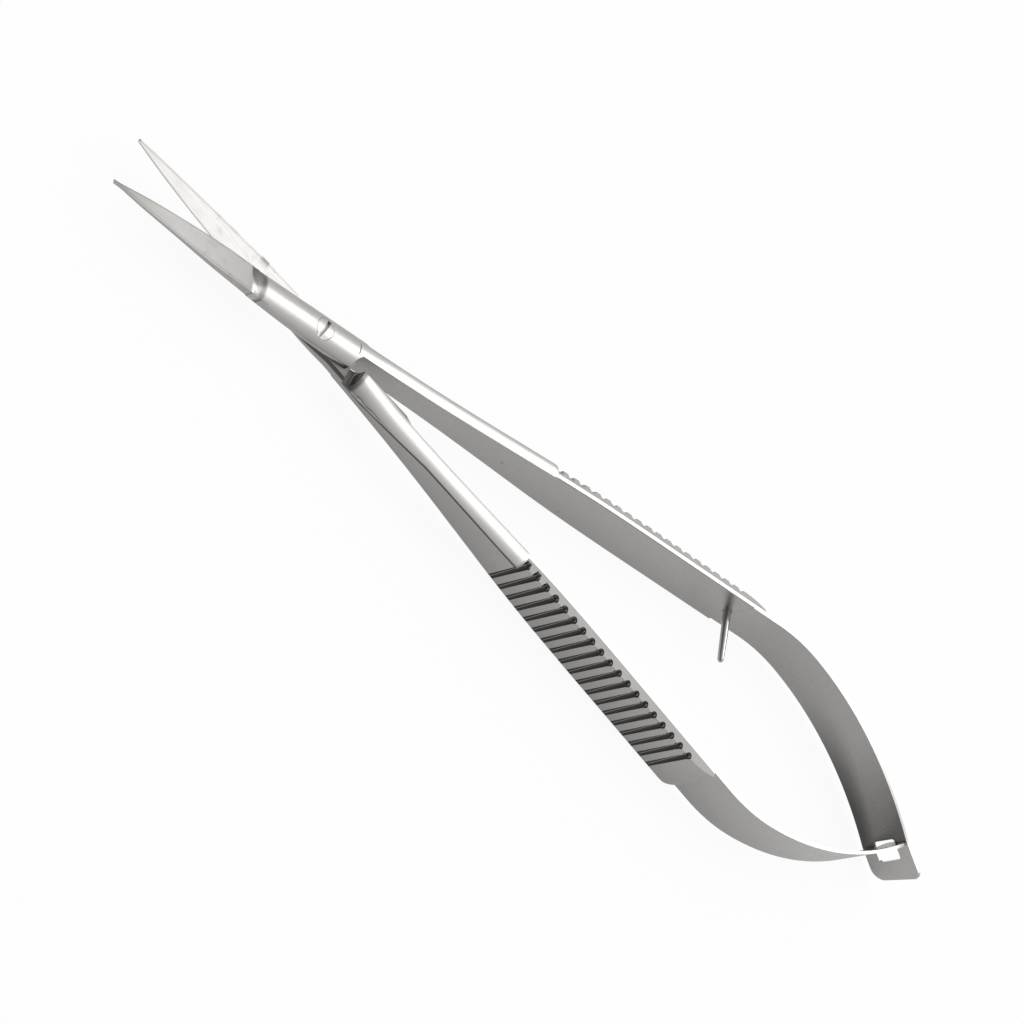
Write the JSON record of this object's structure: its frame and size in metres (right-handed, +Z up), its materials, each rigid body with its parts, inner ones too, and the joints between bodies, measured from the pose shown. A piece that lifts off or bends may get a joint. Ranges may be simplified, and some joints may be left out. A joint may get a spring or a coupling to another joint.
{
  "type": "micro spring scissors",
  "caption": "Slim all-steel spring scissors with short pointed blades, ribbed straight handles and a bowed two-leaf return spring hooked at the tail.",
  "frame": {"origin": "middle of the underside of the whole open tool", "axes": "+X along the tool from the blade tips to the hooked tail, +Y towards the handle of the upper half, +Z up along the pivot axis"},
  "size_m": [0.1202, 0.0212, 0.0062],
  "materials": {
    "satin_steel": "satin ground",
    "spring_steel": "satin rolled strip",
    "screw_steel": "fine turned"
  },
  "bodies": {
    "upper_half": {"upper_blade_handle": "satin_steel", "stop_pin": "screw_steel"},
    "lower_half": {"lower_blade_handle": "satin_steel", "pivot_screw": "screw_steel"},
    "upper_spring": {"slotted_leaf_spring": "spring_steel"},
    "lower_spring": {"tongued_leaf_spring": "spring_steel"}
  },
  "joints": [
    {"name": "pivot", "type": "hinge", "parent": "upper_half", "child": "lower_half", "pos_m": [-0.03416, 0, 0.0031], "axis": [0, 0, 1], "range_deg": [0, 11.6], "stiffness_Nm_per_rad": 0.15},
    {"name": "upper_spring_bend", "type": "hinge", "parent": "upper_half", "child": "upper_spring", "pos_m": [0.02793, 0.00976, 0.0031], "axis": [0, 0, 1], "range_deg": [0, 18.1]},
    {"name": "lower_spring_bend", "type": "hinge", "parent": "lower_half", "child": "lower_spring", "pos_m": [0.02793, -0.00976, 0.0031], "axis": [0, 0, 1], "range_deg": [-18.1, 0]}
  ],
  "couplings": [
    {"joint": "upper_spring_bend", "follows": "pivot", "ratio": 1.557},
    {"joint": "lower_spring_bend", "follows": "pivot", "ratio": -1.557}
  ]
}
